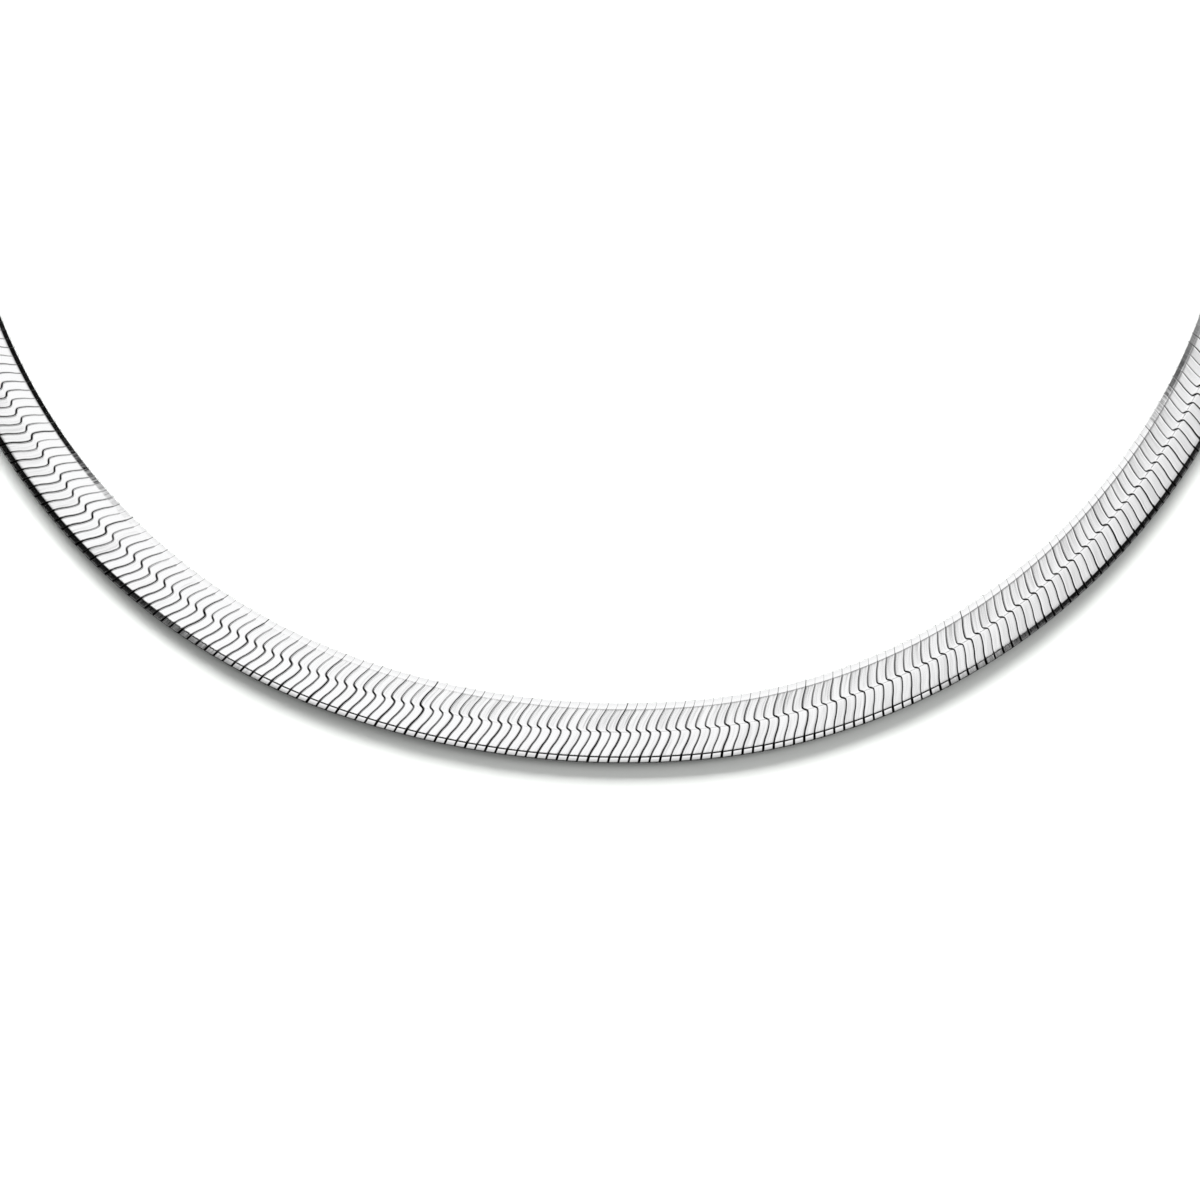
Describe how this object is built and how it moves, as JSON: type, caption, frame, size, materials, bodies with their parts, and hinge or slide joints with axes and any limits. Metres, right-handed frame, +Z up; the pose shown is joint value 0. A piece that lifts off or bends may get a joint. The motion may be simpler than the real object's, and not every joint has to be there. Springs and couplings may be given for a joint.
{
  "type": "flat snake chain necklace",
  "caption": "Flat snake chain necklace of close-set S-shaped links with rounded edges, end caps and a lobster clasp, lying flat as a closed loop.",
  "frame": {"origin": "middle of the loop's box, on the surface that it rests on", "axes": "+X to the wearer's left along the long side of the loop, +Y from the front of the necklace to its clasp, +Z up from the surface"},
  "size_m": [0.1418, 0.125, 0.0025],
  "materials": {
    "chain_metal": "white rhodium-plated silver, polished, with fine lengthwise polishing lines",
    "cap_metal": "polished silver, softly worn at the edges",
    "clasp_metal": "polished silver, softly worn at the edges"
  },
  "bodies": {
    "root": {"chain_left": "chain_metal", "chain_right": "chain_metal", "end_cap_left": "cap_metal", "end_cap_right": "cap_metal", "lobster_clasp": "clasp_metal"}
  },
  "joints": []
}
